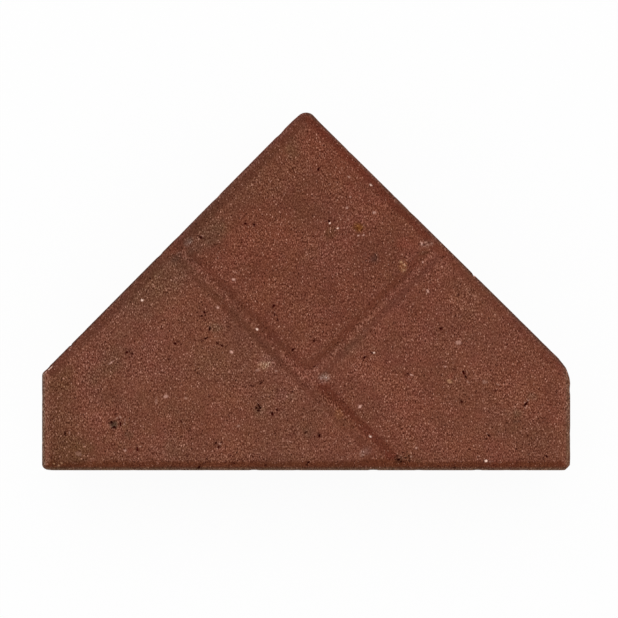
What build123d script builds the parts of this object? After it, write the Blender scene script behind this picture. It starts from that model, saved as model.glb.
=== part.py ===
# A mitre-shaped edge stone for herringbone paving, pressed from concrete in one piece.
#
# Seen from above it is a right-angled gable on a low rectangle: a straight base, a short
# end at each side, and two legs that meet at a square tip. Two dummy joints are pressed
# into its face. They part it into three raised fields, so that one stone looks like
# three laid ones: a square at the tip, a left field, and a right field.
#
# X runs along the base, Y from the base to the tip, and Z up. The underside lies at
# Z = 0, under the middle of the stone's overall width and depth.

import os
from math import atan, degrees, sqrt

from build123d import *

# The outline, in millimetres
stone_width = 296.0  # from one short end to the other
end_depth = 55.0  # along each short end, from the base to the shoulder
stone_thickness = 80.0
tip_radius = 6.0
left_shoulder_radius = 6.0
right_shoulder_radius = 17.0  # worn rounder than the left one
base_corner_radius = 3.5

# The raised fields and the dummy joints between them
square_side = 107.5  # from each leg to the middle of the dummy joint beside it
joint_floor_width = 2.8  # flat bottom of a dummy joint
joint_depth = 4.0  # from the face down to that bottom
slope_run = 4.7  # width of the slope round each field, seen from above
leg_rim = 1.2  # flat strip between a slope's foot and the stone's edge, along a leg
outer_rim = 0.6  # the same strip along the base and the two ends
field_corner_radius = 4.0  # at the corners of a field's flat top

# What follows from them
half_width = stone_width / 2
tip_loss = tip_radius * (sqrt(2) - 1)  # what the tip's rounding takes off the depth
base_y = -(end_depth + half_width - tip_loss) / 2
sharp_tip_y = base_y + end_depth + half_width
bed_height = stone_thickness - joint_depth
slope_lean = degrees(atan(slope_run / joint_depth))  # from upright
foot_radius = field_corner_radius + slope_run  # at the corners of a field's foot


# A line is the direction that points out across it, and how far out it lies
def moved_in(line, distance):
    return (line[0], line[1], line[2] - distance)


def other_side(line):
    return (-line[0], -line[1], -line[2])


def crossing(first, second):
    spread = first[0] * second[1] - first[1] * second[0]
    x = (first[2] * second[1] - second[2] * first[1]) / spread
    y = (first[0] * second[2] - second[0] * first[2]) / spread
    return (x, y)


def rounded_shape(lines, radii):
    """The shape that lines bound, in order round it. Each radius rounds the corner
    between its line and the next."""
    following = lines[1:] + lines[:1]
    corners = [crossing(line, next_line) for line, next_line in zip(lines, following)]
    with BuildSketch() as shape:
        with BuildLine():
            Polyline(*corners, close=True)
        make_face()
        for corner, radius in zip(corners, radii):
            fillet(shape.vertices().sort_by_distance(corner)[0], radius)
    return shape.sketch


# The legs rise at 45 degrees, which makes the tip square
left_leg = (-1 / sqrt(2), 1 / sqrt(2), sharp_tip_y / sqrt(2))
right_leg = (1 / sqrt(2), 1 / sqrt(2), sharp_tip_y / sqrt(2))
base = (0, -1, -base_y)
left_end = (-1, 0, half_width)
right_end = (1, 0, half_width)

# Where the fields' feet lie along those
left_leg_foot = moved_in(left_leg, leg_rim)
right_leg_foot = moved_in(right_leg, leg_rim)
base_foot = moved_in(base, outer_rim)
left_end_foot = moved_in(left_end, outer_rim)
right_end_foot = moved_in(right_end, outer_rim)

# The long dummy joint runs from the left leg down to the base. The short one runs from
# the right leg down to the long one. Each has a foot on its upper and its lower side.
long_joint_lower_foot = moved_in(right_leg, square_side + joint_floor_width / 2)
long_joint_upper_foot = other_side(moved_in(right_leg, square_side - joint_floor_width / 2))
short_joint_lower_foot = moved_in(left_leg, square_side + joint_floor_width / 2)
short_joint_upper_foot = other_side(moved_in(left_leg, square_side - joint_floor_width / 2))

outline = rounded_shape(
    [base, right_end, right_leg, left_leg, left_end],
    [
        base_corner_radius,
        right_shoulder_radius,
        tip_radius,
        left_shoulder_radius,
        base_corner_radius,
    ],
)
square_field = rounded_shape(
    [right_leg_foot, left_leg_foot, long_joint_upper_foot, short_joint_upper_foot],
    [max(foot_radius, tip_radius), foot_radius, foot_radius, foot_radius],
)
left_field = rounded_shape(
    [left_leg_foot, left_end_foot, base_foot, long_joint_lower_foot],
    [
        max(foot_radius, left_shoulder_radius),
        max(foot_radius, base_corner_radius),
        foot_radius,
        foot_radius,
    ],
)
right_field = rounded_shape(
    [right_leg_foot, short_joint_lower_foot, long_joint_upper_foot, base_foot, right_end_foot],
    [
        foot_radius,
        foot_radius,
        foot_radius,
        max(foot_radius, base_corner_radius),
        max(foot_radius, right_shoulder_radius),
    ],
)

with BuildPart() as stone:
    # The whole stone up to the bottom of the dummy joints
    with BuildSketch():
        add(outline)
    extrude(amount=bed_height)

    # The three raised fields, each with a slope all round
    for field in (square_field, left_field, right_field):
        with BuildSketch(Plane.XY.offset(bed_height)):
            add(field)
        extrude(amount=joint_depth, taper=slope_lean)

stone.part.label = "paving_stone"
os.makedirs("parts", exist_ok=True)
export_step(stone.part, "parts/paving_stone.step")
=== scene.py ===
from math import atan2, cos, degrees, hypot, pi, radians, sin, sqrt

import bmesh
import bpy
from mathutils import Matrix, Vector, kdtree, noise


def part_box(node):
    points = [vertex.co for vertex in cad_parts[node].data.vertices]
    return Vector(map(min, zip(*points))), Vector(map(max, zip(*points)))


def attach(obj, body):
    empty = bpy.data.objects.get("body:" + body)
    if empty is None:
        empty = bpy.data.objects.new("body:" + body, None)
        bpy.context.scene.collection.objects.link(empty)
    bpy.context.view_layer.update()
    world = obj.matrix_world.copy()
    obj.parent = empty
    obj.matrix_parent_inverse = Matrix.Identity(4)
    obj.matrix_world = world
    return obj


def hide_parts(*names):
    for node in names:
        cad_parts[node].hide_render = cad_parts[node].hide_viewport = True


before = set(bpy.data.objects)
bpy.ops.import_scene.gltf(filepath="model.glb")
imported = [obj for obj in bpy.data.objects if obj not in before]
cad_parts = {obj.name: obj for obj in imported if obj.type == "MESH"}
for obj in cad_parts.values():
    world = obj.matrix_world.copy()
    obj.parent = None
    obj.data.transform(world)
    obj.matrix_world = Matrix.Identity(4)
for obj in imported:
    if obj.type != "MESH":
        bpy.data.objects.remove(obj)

mm = 0.001
noise.seed_set(1)  # without it noise_vector gives something else each run
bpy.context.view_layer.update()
stoneLow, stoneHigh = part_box("paving_stone")

# Sizes of the stone that its box doesn't give
stone = {
    "endDepth": 55.0 * mm,
    "tipRadius": 6.0 * mm,
    "leftShoulderRadius": 6.0 * mm,
    "rightShoulderRadius": 17.0 * mm,
    "baseCornerRadius": 3.5 * mm,
    "squareSide": 107.5 * mm,  # from a leg to the middle of the dummy joint beside it
    "jointFloor": 2.8 * mm,
    "jointDepth": 4.0 * mm,
    "slopeRun": 4.7 * mm,
    "legRim": 1.2 * mm,
    "outerRim": 0.6 * mm,
    "fieldCornerRadius": 4.0 * mm,
    "topEase": 0.3,  # how much of a slope is rounded into the face
    "footEase": 0.5,
    "arris": 0.35 * mm,  # rounding of the upper edge
    "bedArris": 0.8 * mm,  # and of the lower one
}

# Where this stone strays from its true lines, as measured in the photograph
strays = {
    "longJointUpper": -0.5 * mm,  # its upper and lower side, away from the right leg
    "longJointLower": -0.7 * mm,
    "shortJointUpper": 0.7 * mm,  # the same, away from the left leg
    "shortJointLower": 0.25 * mm,
    "rightLegSlope": -0.45 * mm,  # inwards
    "leftLegSlope": 1.0 * mm,
    "baseSlope": -0.1 * mm,
    "baseSlopeWider": 0.6 * mm,  # how much further in that slope reaches
    "leftLegSkew": (0.40 * mm, -0.58 * mm),  # outwards, at the tip and at the shoulder
    "rightLegSkew": (-0.30 * mm, 0.94 * mm),
    "skewReach": 2.5 * mm,  # how far in from a leg the face moves with it
    "tipEase": (4.0 * mm, 12.0 * mm),  # where along a leg that begins, past the tip
    "endEase": 6.0 * mm,  # and how far before the ends it is over
}

# How finely the stone is divided
mesh = {
    "pitch": 0.92 * mm,
    "ringStep": 2.4 * mm,
    "bedPitch": 6.0 * mm,
    "cornerSteps": 8,
    "sliver": 0.16 * mm,
    "markCuts": 2,  # extra cuts of each edge round a small mark
    "markMargin": 0.5 * mm,
    "snap": 1e-7,  # how near a point counts as on a cut
    "shortest": 0.02 * mm,  # no edge is kept that is shorter
}


# A line is the direction that points out across it, and how far out it lies
def lineFacing(angle, reach):
    return (cos(radians(angle)), sin(radians(angle)), reach)


def movedIn(line, distance):
    return (line[0], line[1], line[2] - distance)


def otherSide(line):
    return (-line[0], -line[1], -line[2])


def crossing(first, second):
    spread = first[0] * second[1] - first[1] * second[0]
    x = (first[2] * second[1] - second[2] * first[1]) / spread
    y = (first[0] * second[2] - second[0] * first[2]) / spread
    return x, y


# Lines go round anticlockwise, and each radius rounds the corner after its line
def roundedShape(lines, radii):
    corners = []
    for index, line in enumerate(lines):
        following = lines[(index + 1) % len(lines)]
        radius = radii[index]
        x, y = crossing(movedIn(line, radius), movedIn(following, radius))
        corners.append((x, y, radius, line, following))
    return {"lines": lines, "corners": corners}


# How deep a point lies inside a shape, and which way is straight out from there
def depthInside(x, y, shape):
    depth, outX, outY = 1.0, 0.0, 0.0
    for lineX, lineY, reach in shape["lines"]:
        here = reach - lineX * x - lineY * y
        if here < depth:
            depth, outX, outY = here, lineX, lineY
    for cornerX, cornerY, radius, first, second in shape["corners"]:
        awayX, awayY = x - cornerX, y - cornerY
        pastFirst = first[0] * awayY - first[1] * awayX
        beforeSecond = awayX * second[1] - awayY * second[0]
        if pastFirst > 0 and beforeSecond > 0:
            away = hypot(awayX, awayY)
            depth, outX, outY = radius - away, awayX / away, awayY / away
    return depth, outX, outY


halfWidth = stoneHigh.x
baseY = stoneLow.y
topZ = stoneHigh.z
bedZ = topZ - stone["jointDepth"]  # the floor of the dummy joints
sharpTipY = baseY + stone["endDepth"] + halfWidth
legReach = sharpTipY / sqrt(2)

base = lineFacing(-90, -baseY)
rightEnd = lineFacing(0, halfWidth)
rightLeg = lineFacing(45, legReach)
leftLeg = lineFacing(135, legReach)
leftEnd = lineFacing(180, halfWidth)

outline = roundedShape(
    [base, rightEnd, rightLeg, leftLeg, leftEnd],
    [
        stone["baseCornerRadius"],
        stone["rightShoulderRadius"],
        stone["tipRadius"],
        stone["leftShoulderRadius"],
        stone["baseCornerRadius"],
    ],
)


# The three raised fields, by the feet of their slopes
def raisedFields():
    rightFoot = movedIn(rightLeg, stone["legRim"] + strays["rightLegSlope"])
    leftFoot = movedIn(leftLeg, stone["legRim"] + strays["leftLegSlope"])
    baseFoot = movedIn(base, stone["outerRim"] + strays["baseSlope"])
    leftEndFoot = movedIn(leftEnd, stone["outerRim"])
    rightEndFoot = movedIn(rightEnd, stone["outerRim"])
    upper = stone["squareSide"] - stone["jointFloor"] / 2
    lower = stone["squareSide"] + stone["jointFloor"] / 2
    longUpper = otherSide(movedIn(rightLeg, upper + strays["longJointUpper"]))
    longLower = movedIn(rightLeg, lower + strays["longJointLower"])
    shortUpper = otherSide(movedIn(leftLeg, upper + strays["shortJointUpper"]))
    shortLower = movedIn(leftLeg, lower + strays["shortJointLower"])
    radius = stone["fieldCornerRadius"] + stone["slopeRun"]
    worn = max(radius, stone["rightShoulderRadius"])
    square = roundedShape([rightFoot, leftFoot, longUpper, shortUpper], [radius] * 4)
    left = roundedShape([leftFoot, leftEndFoot, baseFoot, longLower], [radius] * 4)
    right = roundedShape(
        [rightFoot, shortLower, longUpper, baseFoot, rightEndFoot],
        [radius, radius, radius, radius, worn],
    )
    return [square, left, right]


fields = raisedFields()


def smoothMin(first, second, ease):
    overlap = max(ease - abs(first - second), 0) / ease
    return min(first, second) - overlap * overlap * ease / 4


def smoothStep(value, low, high):
    share = min(max((value - low) / (high - low), 0), 1)
    return share * share * (3 - 2 * share)


# How uneven the surface is: waves to the metre, and how strong they are.
# All of it goes inwards from the stone's true size.
unevenness = {
    "slopeStray": (50, 0.5 * mm),  # how far the line of a slope wavers
    "slopeShake": (210, 0.25 * mm),
    "slopeSlice": 3.7,  # the height at which that noise is read
    "faceSwell": (28, 0.16 * mm),
    "faceLumps": (170, 0.10 * mm),
    "faceGrit": (620, 0.025 * mm),
    "sideSwell": (22, 0.30 * mm),
    "sideLumps": (120, 0.35 * mm),
    "sideGrit": (430, 0.25 * mm),
    "dragWaves": (380, 18),  # across and down the sides, as the mould drags them
    "dragDepth": 0.30 * mm,
    "dragLevel": 0.2,  # the higher a level, the more of the surface its hollows take
    "hollowLevel": 0.3,
    "sideEase": (0.5 * mm, 4.0 * mm),  # below the upper edge the sides grow rough
    "levelFrom": (0.2, 0.7),  # from a side to the face or the bed, as the normal turns up
    "edgeReach": 1.8 * mm,
    "chipFrom": (0.15, 0.6),  # the noise at which a chip begins, and is whole
    "upperChips": (120, 0.30 * mm),
    "lowerChips": (70, 0.90 * mm),
}


# 0 in a dummy joint or on the rim, 1 on a field, and a slope between. Also how many
# slope widths the place lies in from the field's foot, and which way its slope faces.
def riseAt(x, y):
    for density, reach in (unevenness["slopeStray"], unevenness["slopeShake"]):
        stray = noise.noise_vector(Vector((x * density, y * density, unevenness["slopeSlice"]))) * reach
        x, y = x + stray.x, y + stray.y
    rise, inward, faceX, faceY = 0, 0, 0, 0
    for field in fields:
        depth, outX, outY = depthInside(x, y, field)
        share = depth / stone["slopeRun"]
        eased = smoothMin(share, 1, stone["topEase"])
        eased = -smoothMin(-eased, 0, stone["footEase"])
        if eased > rise:
            rise, inward, faceX, faceY = eased, share, outX, outY
    return rise, inward, faceX, faceY


# Pores and pits in the face, in mm: x, y, length, width, turn in degrees, depth
pits = [
    (-108.6, -73.2, 1.9, 1.5, 60, 1.4),
    (-107.3, -75.9, 1.8, 1.3, 30, 1.2),
    (-103.7, -74.0, 3.0, 1.1, 100, 0.9),
    (-106.1, -68.6, 1.4, 1.1, 0, 0.6),
    (-104.3, -71.5, 1.2, 0.9, 60, 0.8),
    (-26.5, -63.6, 3.1, 1.3, 112, 1.4),
    (-27.6, -65.2, 1.5, 1.1, 0, 1.2),
    (-25.7, -65.2, 1.5, 1.1, 0, 1.2),
    (-26.6, -66.6, 1.5, 1.2, 0, 1.2),
    (-18.9, -68.5, 2.5, 1.3, 95, 1.3),
    (-16.4, -66.1, 1.4, 1.1, 0, 1.0),
    (-7.9, -55.9, 1.4, 1.1, 0, 0.6),
    (-15.9, -54.8, 1.3, 1.1, 0, 0.6),
    (-53.9, -20.9, 3.4, 1.0, 78, 1.2),
    (-43.6, -19.8, 1.3, 1.1, 0, 0.7),
    (-56.8, -11.7, 1.8, 1.3, 150, 0.9),
    (-58.4, -13.8, 1.6, 1.1, 40, 0.7),
    (-56.3, -13.3, 1.3, 1.0, 0, 0.6),
    (-56.5, -16.1, 1.4, 1.0, 40, 0.6),
    (-56.0, -26.3, 1.9, 1.1, 40, 0.9),
    (-57.6, -27.4, 1.2, 0.8, 0, 0.6),
    (-73.3, -29.2, 1.6, 1.4, 0, 1.0),
    (-71.6, -28.2, 1.0, 0.8, 0, 0.5),
    (-100.0, -34.0, 1.6, 1.4, 0, 0.9),
    (-97.0, -35.0, 1.4, 1.1, 120, 0.8),
    (-98.4, -32.9, 1.1, 0.8, 40, 0.5),
    (-76.6, -37.9, 1.2, 1.0, 0, 0.7),
    (-134.5, -79.3, 2.4, 1.0, 90, 1.1),
    (-94.2, -88.2, 3.4, 1.4, 100, 0.8),
    (-70.0, -72.4, 2.6, 1.4, 160, 0.5),
    (-50.3, -84.6, 1.4, 1.2, 45, 1.1),
    (-48.9, -87.0, 1.6, 1.3, 45, 0.9),
    (-47.4, -84.4, 1.4, 0.7, 45, 0.6),
    (-61.2, -93.2, 1.8, 1.2, 100, 0.45),
    (-66.3, -91.9, 1.6, 1.2, 0, 0.45),
    (-42.4, -91.5, 1.6, 1.2, 0, 0.45),
    (-40.6, -95.9, 2.4, 1.5, 0, 0.45),
    (-45.2, -95.4, 1.6, 1.2, 0, 0.45),
    (-55.0, -92.6, 3.2, 0.7, 60, 0.5),
    (-56.8, -96.0, 2.4, 0.9, 50, 0.5),
    (-59.9, -98.4, 2.2, 1.1, 50, 0.9),
    (-49.5, -29.0, 1.6, 1.1, 130, 0.8),
    (-46.9, -30.4, 1.6, 1.2, 140, 0.9),
    (-33.8, 37.7, 1.9, 1.3, 160, 1.0),
    (-29.0, 37.3, 1.5, 1.2, 0, 0.9),
    (-58.8, 30.1, 1.7, 1.3, 150, 0.9),
    (-60.7, 31.0, 1.2, 0.9, 90, 0.6),
    (-57.3, 29.5, 1.2, 0.9, 0, 0.6),
    (-18.1, -8.1, 2.3, 1.3, 45, 1.0),
    (-17.7, -13.1, 2.0, 0.9, 90, 0.8),
    (-15.9, -15.9, 1.6, 0.9, 100, 0.8),
    (12.8, 39.3, 1.9, 1.1, 135, 1.0),
    (15.6, 39.3, 1.2, 0.9, 150, 0.7),
    (6.8, 68.1, 2.3, 1.0, 75, 0.9),
    (4.4, -27.7, 1.5, 1.2, 90, 0.9),
    (-7.4, -32.7, 2.2, 1.4, 50, 1.0),
    (32.6, -36.9, 1.8, 1.3, 40, 1.0),
    (36.7, -34.4, 1.7, 0.9, 160, 0.8),
    (7.4, -80.8, 2.4, 1.3, 90, 1.2),
    (-0.3, -78.8, 1.8, 1.0, 45, 0.6),
    (1.2, -95.5, 1.9, 1.5, 50, 1.1),
    (0.3, -97.0, 1.4, 1.1, 0, 0.8),
    (51.6, -94.2, 1.5, 1.2, 0, 0.9),
    (53.3, -95.0, 1.3, 1.0, 0, 0.8),
    (50.6, -91.9, 1.3, 1.0, 0, 0.7),
    (55.6, -93.0, 1.3, 1.0, 0, 0.7),
    (57.2, -91.7, 1.2, 1.0, 0, 0.6),
    (57.4, -94.5, 1.3, 1.0, 0, 0.7),
    (55.2, -95.6, 1.2, 0.9, 0, 0.6),
    (54.2, -90.0, 1.2, 0.9, 0, 0.6),
    (66.0, 25.8, 1.1, 0.9, 0, 0.6),
    (69.2, 27.4, 1.1, 0.9, 0, 0.6),
    (-22.6, -97.1, 1.7, 1.2, 30, 0.7),
    (83.2, -98.4, 1.8, 1.0, 0, 0.6),
    (105.0, -97.3, 1.5, 0.9, 20, 0.5),
    (73.8, -97.6, 1.4, 0.9, 0, 0.5),
    (84.9, -2.1, 2.0, 1.4, 90, 0.45),
    (75.3, -20.8, 1.8, 1.3, 110, 0.9),
    (88.0, -45.4, 2.8, 1.5, 114, 1.4),
    (89.1, -47.8, 2.6, 0.8, 108, 1.1),
    (82.5, -43.6, 1.5, 1.1, 0, 0.5),
    (105.5, -55.7, 1.4, 1.1, 0, 0.5),
    (122.7, -62.9, 3.4, 1.1, 54, 1.5),
    (86.9, -61.8, 1.7, 1.3, 150, 0.8),
    (102.1, -80.7, 2.4, 0.9, 140, 1.0),
    (100.4, -82.4, 1.3, 1.0, 0, 0.8),
    (134.3, -92.1, 1.8, 1.2, 160, 1.0),
    (56.6, -45.9, 1.5, 0.9, 150, 0.8),
    (-25.4, -51.3, 1.9, 1.0, 60, 0.8),
    (-30.6, -52.7, 1.3, 1.0, 0, 0.7),
    (-53.8, -58.5, 1.2, 1.0, 0, 0.7),
    (-128.6, -59.6, 1.3, 1.0, 0, 0.7),
    (101.8, -66.9, 1.3, 0.8, 140, 0.6),
]
darkPit = 0.9  # how deep a pit is that gets the full painted shade, near black

# Damage to the upper edge, in mm: x, y, length, depth
chips = [
    (-131.6, -30.3, 2.6, 1.1),
    (93.5, 8.9, 1.4, 0.4),
    (-145.0, -44.0, 7.0, 0.5),
    (143.8, -40.0, 7.0, 0.3),
    (147.4, -99.6, 5.0, 0.45),
]

# Grains that stand out, in mm: x, y, length, width, turn in degrees, colour, strength
grains = [
    (-27.4, -21.3, 1.7, 1.3, 90, "chalk", 1.0),
    (-41.5, -33.9, 2.0, 1.3, 120, "pale", 1.0),
    (-49.2, -9.1, 1.6, 1.4, 0, "pale", 0.9),
    (-40.6, 6.6, 2.2, 1.5, 160, "pale", 0.9),
    (30.0, -64.3, 2.2, 1.7, 60, "pale", 1.0),
    (35.9, -81.3, 1.3, 1.1, 0, "chalk", 1.0),
    (100.5, -94.7, 1.8, 1.6, 0, "chalk", 1.0),
    (103.2, -95.0, 3.0, 1.2, 0, "pink", 0.5),
    (38.0, 43.9, 2.2, 1.8, 20, "pale", 0.7),
    (36.1, 59.4, 1.2, 1.1, 0, "chalk", 0.9),
    (23.8, 63.9, 1.3, 1.1, 0, "pink", 1.0),
    (24.5, 52.7, 1.1, 1.0, 0, "pale", 0.7),
    (22.8, 46.4, 1.1, 1.0, 0, "pale", 0.8),
    (17.7, 35.2, 1.2, 1.1, 0, "chalk", 0.9),
    (13.2, 38.1, 1.3, 1.1, 0, "chalk", 0.9),
    (29.0, 31.1, 1.2, 1.0, 0, "pale", 0.9),
    (32.0, 31.4, 1.2, 1.0, 0, "pale", 0.8),
    (52.9, 16.4, 1.6, 1.1, 0, "amber", 1.0),
    (54.9, 14.6, 1.4, 1.1, 0, "amber", 1.0),
    (54.7, 11.9, 1.5, 1.2, 45, "amber", 0.9),
    (64.5, 26.8, 1.6, 1.3, 90, "pale", 0.9),
    (66.5, 27.3, 1.3, 1.1, 0, "pink", 0.8),
    (67.8, 26.2, 1.2, 1.0, 0, "pink", 0.9),
    (70.4, 26.9, 1.1, 1.0, 0, "pink", 0.7),
    (65.3, 16.4, 1.5, 1.0, 100, "pale", 0.9),
    (67.9, 0.0, 2.0, 1.3, 100, "pale", 0.8),
    (37.8, -34.3, 1.2, 1.1, 0, "chalk", 0.9),
    (58.7, -46.6, 1.9, 1.0, 160, "pale", 0.8),
    (61.4, -87.4, 1.4, 1.2, 0, "pale", 0.8),
    (93.9, 8.3, 1.2, 0.9, 0, "pale", 1.0),
    (100.7, -79.3, 1.2, 1.0, 0, "pink", 0.8),
    (-37.7, -75.1, 2.0, 1.6, 45, "pink", 0.6),
    (-27.0, -44.0, 2.2, 1.8, 0, "pink", 0.6),
    (-16.6, -44.5, 1.9, 1.3, 0, "pink", 0.7),
    (-108.8, -39.8, 3.6, 0.9, 38, "pale", 0.9),
    (-91.6, -5.0, 1.6, 1.3, 0, "chalk", 0.9),
    (-67.2, -59.6, 2.2, 1.8, 0, "pink", 0.6),
    (-78.4, -58.7, 2.2, 1.9, 0, "pale", 0.7),
    (-83.6, -61.4, 4.2, 1.8, 90, "pink", 0.5),
    (-126.9, -90.6, 3.6, 3.0, 0, "pink", 0.45),
    (85.0, -28.5, 3.6, 3.0, 0, "pale", 0.6),
    (80.1, -50.1, 3.2, 2.6, 0, "amber", 0.7),
    (99.8, -50.5, 3.4, 2.8, 0, "pink", 0.5),
    (-103.7, -70.1, 1.4, 1.0, 120, "pink", 0.9),
    (-101.5, -74.2, 1.4, 1.1, 120, "pink", 0.8),
    (-105.4, -70.6, 1.2, 0.9, 0, "pink", 0.7),
    (-101.2, -72.0, 2.6, 1.0, 90, "pink", 0.5),
    (-92.5, -86.5, 1.3, 1.0, 0, "pink", 0.9),
    (-100.9, -89.0, 1.2, 1.0, 0, "pale", 0.7),
    (-48.4, -85.0, 1.2, 1.0, 0, "pink", 0.9),
    (-132.1, -79.0, 2.4, 0.9, 90, "pink", 0.6),
    (-141.0, -96.4, 1.3, 1.0, 0, "amber", 0.9),
    (-138.2, -97.4, 1.2, 1.0, 0, "amber", 0.8),
    (-136.4, -95.9, 1.2, 1.0, 0, "amber", 0.8),
    # A pale line on the chipped left shoulder: a chalk grain with a painted highlight along the chip's
    # edge
    (-143.2, -42.8, 3.9, 0.8, 42, "chalk", 1.0),
    (-145.7, -45.2, 1.8, 0.8, 50, "pale", 0.8),
    (-131.9, -30.9, 1.5, 0.9, 45, "pale", 0.8),
    (-132.5, -32.6, 1.4, 0.9, 140, "pink", 0.8),
    (-60.0, 29.2, 1.2, 1.0, 0, "pink", 0.8),
    (-57.6, 31.0, 1.1, 0.9, 0, "pink", 0.7),
    (55.0, 53.6, 1.1, 0.9, 0, "pink", 0.6),
    (90.1, -50.3, 1.6, 0.9, 120, "pink", 0.7),
    (89.7, -45.0, 2.4, 0.8, 110, "pink", 0.5),
    (107.5, -52.2, 1.2, 1.0, 0, "pink", 0.9),
    (77.7, -42.0, 1.1, 0.9, 0, "pale", 0.8),
    (122.0, -61.9, 1.1, 0.9, 0, "pink", 0.9),
    (123.8, -60.9, 1.1, 0.9, 0, "pink", 0.9),
    (122.4, -65.0, 1.1, 0.9, 0, "pink", 0.8),
    (58.5, -92.2, 1.2, 1.0, 0, "pink", 0.9),
]

grainColours = {
    "chalk": (0.96, 0.66, 0.54),
    "pale": (0.60, 0.33, 0.26),
    "pink": (0.42, 0.22, 0.165),
    "amber": (0.46, 0.24, 0.13),
}

# Stains and blooms, in mm: x, y, length, width, turn in degrees, colour, strength
stains = [
    (-23.7, -41.2, 7.5, 5.0, 10, "beige", 1.1),
    (-20.0, -39.0, 14.0, 9.0, 0, "grey", 0.4),
    (32.8, -89.7, 7.0, 4.6, 20, "lime", 0.7),
    (-66.0, 27.5, 6.0, 5.0, 30, "lime", 0.9),
    (-65.5, 22.6, 5.5, 4.5, 0, "grey", 0.9),
    (-60.0, 24.0, 8.0, 6.0, 0, "grey", 0.4),
    (-72.8, 18.7, 8.0, 5.0, 45, "dark", 0.6),
    (-74.5, 23.0, 5.0, 4.0, 45, "red", 0.8),
    (68.0, 26.6, 8.5, 4.5, 15, "lime", 0.7),
    (66.0, 21.6, 8.0, 3.0, 15, "olive", 0.9),
    (10.0, -48.4, 7.5, 6.0, 20, "lime", 1.1),
    (54.2, 13.7, 5.5, 7.0, 0, "ochre", 0.9),
    (29.2, 35.5, 6.0, 5.5, 0, "clay", 1.0),
    (13.6, 33.0, 7.0, 9.0, 0, "brown", 0.9),
    (18.7, -68.5, 5.0, 6.0, 0, "ochre", 0.5),
    (54.5, 27.2, 9.0, 7.0, 0, "red", 0.9),
    (-113.2, -73.2, 6.5, 1.8, 90, "ochre", 0.25),
    (-98.1, -88.7, 3.5, 3.0, 0, "red", 0.9),
    (-75.0, -88.0, 16.0, 12.0, 0, "olive", 0.5),
    (-98.7, -79.9, 5.5, 5.0, 0, "olive", 0.8),
    (-45.3, -8.4, 7.5, 8.5, 0, "red", 0.9),
    (-14.0, -58.0, 9.0, 8.0, 0, "mauve", 0.6),
    (80.7, -47.2, 3.5, 4.5, 0, "red", 1.0),
    (126.0, -58.8, 6.5, 5.5, 0, "olive", 0.8),
    (117.8, -67.8, 5.5, 5.0, 0, "olive", 0.8),
    (117.4, -72.6, 4.5, 2.0, 0, "dark", 0.6),
    (52.0, -93.5, 5.5, 5.0, 0, "soot", 0.5),
    (57.0, -92.8, 6.5, 5.5, 0, "brown", 0.6),
    (62.0, -94.5, 5.5, 3.5, 0, "brown", 0.6),
    (46.0, -92.5, 5.5, 4.5, 0, "red", 0.9),
    (-54.0, 31.0, 24.0, 14.0, 30, "olive", 0.8),
    (-60.0, 40.0, 40.0, 12.0, 45, "olive", 0.5),
    (-42.0, 50.0, 110.0, 26.0, 45, "olive", 0.45),
    (-84.0, 2.0, 60.0, 24.0, 45, "olive", 0.7),
    (-112.0, -42.0, 30.0, 12.0, 45, "olive", 0.6),
    (1.0, -78.6, 6.5, 7.5, 0, "olive", 0.6),
    (38.1, 18.2, 5.5, 6.5, 0, "dark", 0.85),
    (-132.0, -88.5, 26.0, 20.0, 20, "brown", 1.0),
    (-138.0, -70.0, 22.0, 40.0, 0, "brown", 0.55),
    (-136.0, -50.0, 22.0, 14.0, 45, "brown", 0.75),
    (-107.2, -74.4, 5.0, 4.4, 20, "soot", 0.85),
    (-101.0, -75.5, 6.0, 5.0, 0, "brown", 0.6),
    (-8.3, -58.5, 6.5, 5.0, 0, "grey", 0.6),
    (109.0, -72.6, 26.0, 18.0, 0, "grey", 0.4),
    (125.0, -82.0, 34.0, 24.0, 0, "olive", 0.35),
    (93.0, -57.0, 26.0, 22.0, 0, "olive", 0.25),
    (-26.0, -66.0, 7.0, 6.0, 0, "olive", 0.6),
    (-51.0, -20.0, 7.5, 6.0, 0, "olive", 0.9),
    (-49.0, -85.3, 7.0, 6.0, 0, "olive", 0.35),
    (-99.0, -34.5, 8.0, 6.0, 0, "olive", 0.3),
    (-31.0, 22.0, 50.0, 34.0, 20, "red", 0.35),
    (28.0, 66.0, 74.0, 26.0, 135, "red", 0.45),
    (4.0, 52.0, 34.0, 40.0, 0, "dark", 0.10),
    (60.0, -8.0, 60.0, 36.0, 45, "red", 0.3),
    (42.0, -45.0, 40.0, 26.0, 0, "red", 0.2),
    (-42.0, -40.0, 70.0, 44.0, 135, "grey", 0.22),
    (-62.0, -76.0, 60.0, 26.0, 0, "red", 0.2),
    (-7.8, 80.0, 9.0, 16.0, 0, "olive", 0.8),
    (27.0, -30.0, 16.0, 8.0, 45, "olive", 0.5),
]

# As shares of the face's own red, green and blue
stainColours = {
    "beige": (1.48, 2.0, 1.9),
    "lime": (1.32, 1.88, 2.3),
    "ochre": (1.35, 1.45, 1.1),
    "clay": (1.04, 1.12, 0.5),
    "brown": (0.79, 0.88, 0.76),
    "olive": (0.85, 1.02, 1.0),
    "grey": (0.98, 1.14, 1.2),
    "mauve": (1.0, 0.98, 1.2),
    "red": (1.07, 0.94, 0.94),
    "dark": (0.54, 0.64, 0.75),
    "soot": (0.42, 0.70, 0.72),
}
speckledStains = ("beige", "lime")  # their grain is coarser than elsewhere


def everything(bm):
    return bm.verts[:] + bm.edges[:] + bm.faces[:]


def cutAlong(bm, line, trim):
    bmesh.ops.bisect_plane(
        bm,
        geom=everything(bm),
        dist=mesh["snap"],
        plane_co=(line[0] * line[2], line[1] * line[2], 0),
        plane_no=(line[0], line[1], 0),
        clear_outer=trim,
    )


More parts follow.
